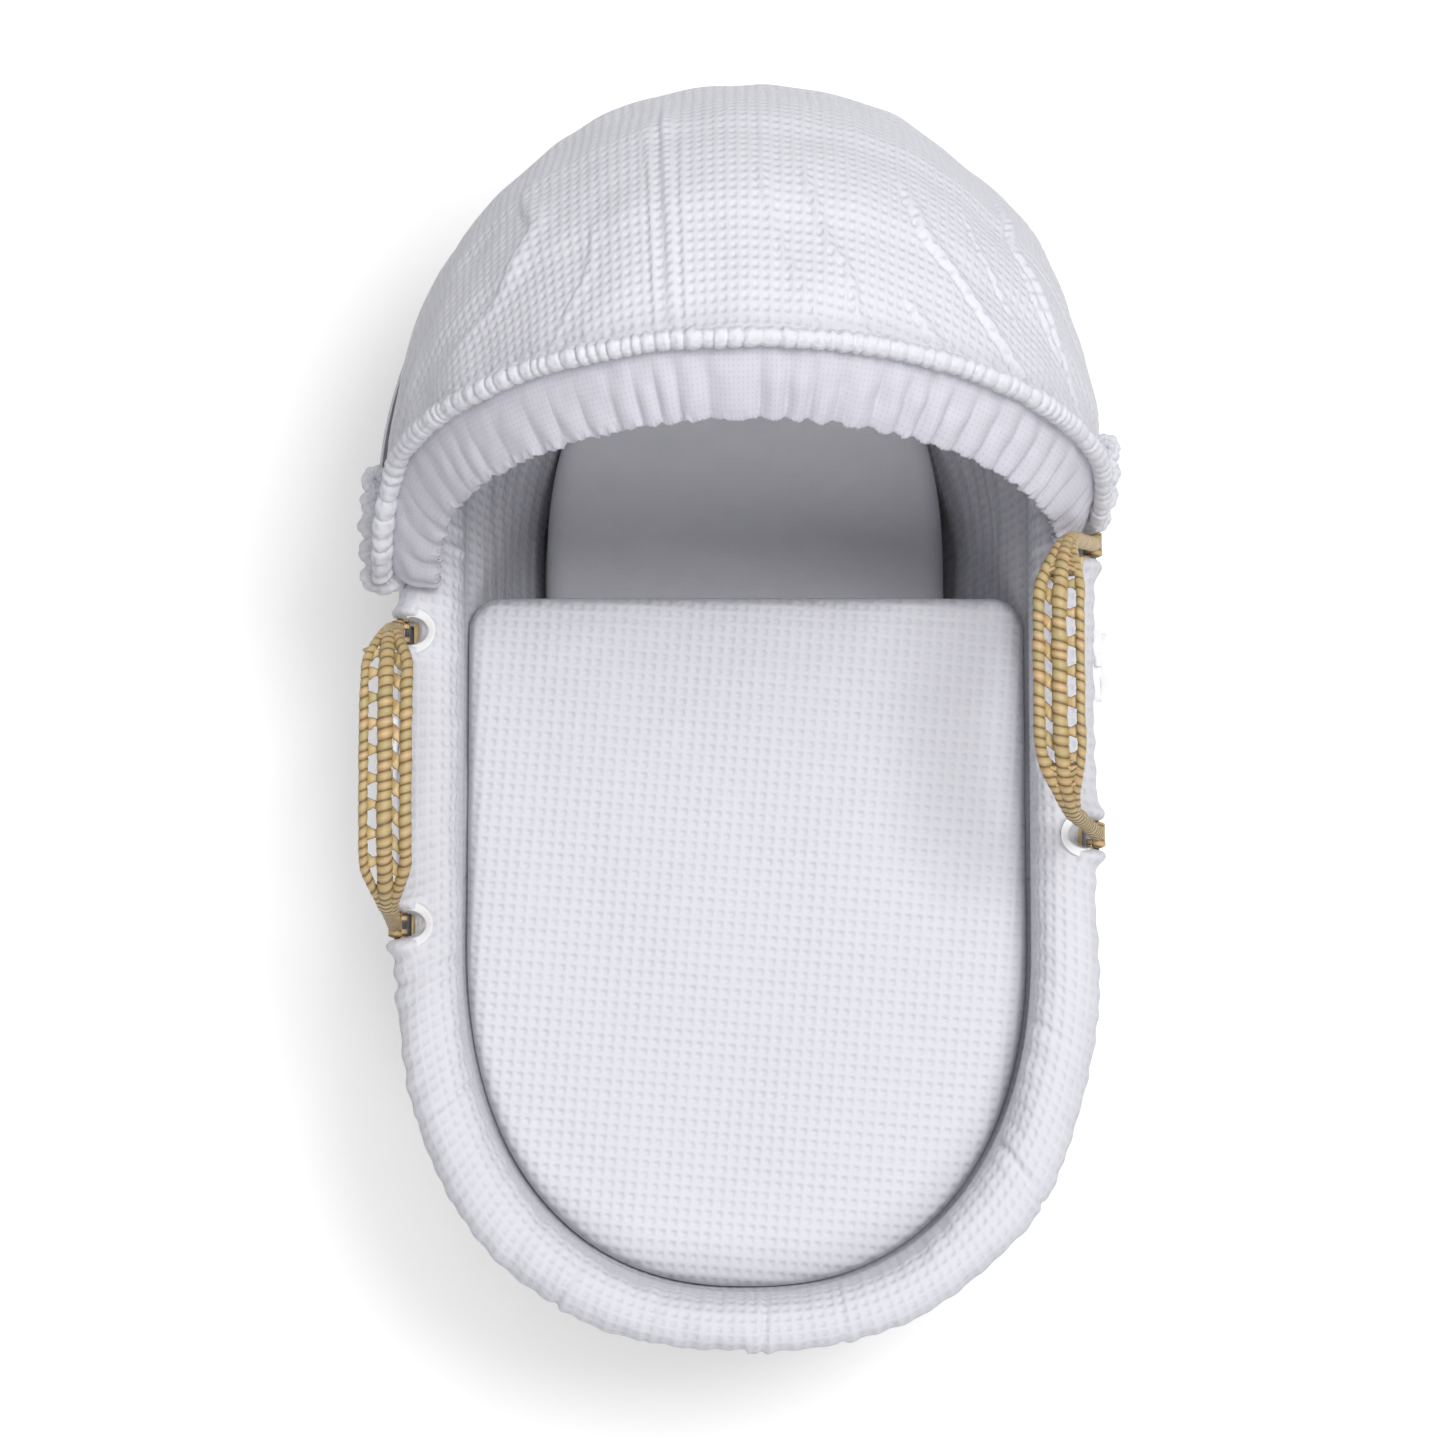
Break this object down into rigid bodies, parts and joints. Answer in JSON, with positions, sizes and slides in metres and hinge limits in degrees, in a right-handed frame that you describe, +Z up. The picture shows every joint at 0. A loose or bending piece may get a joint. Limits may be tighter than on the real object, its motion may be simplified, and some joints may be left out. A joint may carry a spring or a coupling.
{
  "type": "moses basket",
  "caption": "Palm-leaf moses basket with two swinging handles, a padded cloth liner, mattress, quilted coverlet and a folding hood.",
  "frame": {"origin": "middle of the underside of the palm base", "axes": "+Y towards the head and hood, +X to the right seen from the foot, +Z up"},
  "size_m": [0.51, 0.84, 0.5404],
  "materials": {
    "palm_leaf": "matte",
    "waffle_cloth": "matte",
    "padded_waffle": "matte",
    "jersey_sheet": "matte",
    "foam": "matte",
    "white_tape": "satin",
    "elastic": "matte",
    "hoop_plastic": "satin"
  },
  "bodies": {
    "root": {"palm_base": "palm_leaf", "palm_wall": "palm_leaf", "palm_rim_coil": "palm_leaf", "liner_floor": "padded_waffle", "liner_wall": "padded_waffle", "liner_rim_roll": "padded_waffle", "skirt": "waffle_cloth", "skirt_hem_elastic": "elastic", "hood_hem": "waffle_cloth", "hood_panel_rear": "waffle_cloth", "cutout_binding_left": "white_tape", "tie_bow_left": "white_tape", "handle_anchors_left": "palm_leaf", "handle_lashings_left": "palm_leaf", "hood_pocket_left": "waffle_cloth", "hood_gather_left": "waffle_cloth", "cutout_binding_right": "white_tape", "tie_bow_right": "white_tape", "handle_anchors_right": "palm_leaf", "handle_lashings_right": "palm_leaf", "hood_pocket_right": "waffle_cloth", "hood_gather_right": "waffle_cloth"},
    "hood_lower": {"hood_panel_lower": "waffle_cloth"},
    "hood_upper": {"hood_panel_upper": "waffle_cloth"},
    "hood_front": {"hood_panel_front": "waffle_cloth", "hood_hoop": "hoop_plastic", "hood_front_ruffle": "waffle_cloth", "hood_front_band": "waffle_cloth"},
    "mattress": {"mattress_foam": "foam", "fitted_sheet": "jersey_sheet"},
    "coverlet": {"coverlet": "padded_waffle"},
    "handle_left": {"handle_left_inboard_coil": "palm_leaf", "handle_left_middle_coil": "palm_leaf", "handle_left_outboard_coil": "palm_leaf", "handle_left_links": "palm_leaf", "handle_left_woven_ends": "palm_leaf"},
    "handle_right": {"handle_right_inboard_coil": "palm_leaf", "handle_right_middle_coil": "palm_leaf", "handle_right_outboard_coil": "palm_leaf", "handle_right_links": "palm_leaf", "handle_right_woven_ends": "palm_leaf"}
  },
  "joints": [
    {"name": "hood_fold_lower", "type": "hinge", "parent": "root", "child": "hood_lower", "pos_m": [0, 0.142, 0.262], "axis": [-1, 0, 0], "range_deg": [0, 18]},
    {"name": "hood_fold_upper", "type": "hinge", "parent": "hood_lower", "child": "hood_upper", "pos_m": [0, 0.142, 0.262], "axis": [-1, 0, 0], "range_deg": [0, 18]},
    {"name": "hood_fold_front", "type": "hinge", "parent": "hood_upper", "child": "hood_front", "pos_m": [0, 0.142, 0.262], "axis": [-1, 0, 0], "range_deg": [0, 18]},
    {"name": "handle_left_swing", "type": "hinge", "parent": "root", "child": "handle_left", "pos_m": [-0.235, -0.038, 0.25], "axis": [0, -1, 0], "range_deg": [-42, 83]},
    {"name": "handle_right_swing", "type": "hinge", "parent": "root", "child": "handle_right", "pos_m": [0.235, 0.022, 0.25], "axis": [0, 1, 0], "range_deg": [-29, 96]},
    {"name": "mattress_lift", "type": "slide", "parent": "root", "child": "mattress", "axis": [0, 0, 1], "range_m": [0, 0.15]},
    {"name": "coverlet_lift", "type": "slide", "parent": "mattress", "child": "coverlet", "axis": [0, 0, 1], "range_m": [0, 0.13]}
  ],
  "couplings": [
    {"joint": "hood_fold_upper", "follows": "hood_fold_lower", "ratio": 1},
    {"joint": "hood_fold_front", "follows": "hood_fold_lower", "ratio": 1}
  ]
}
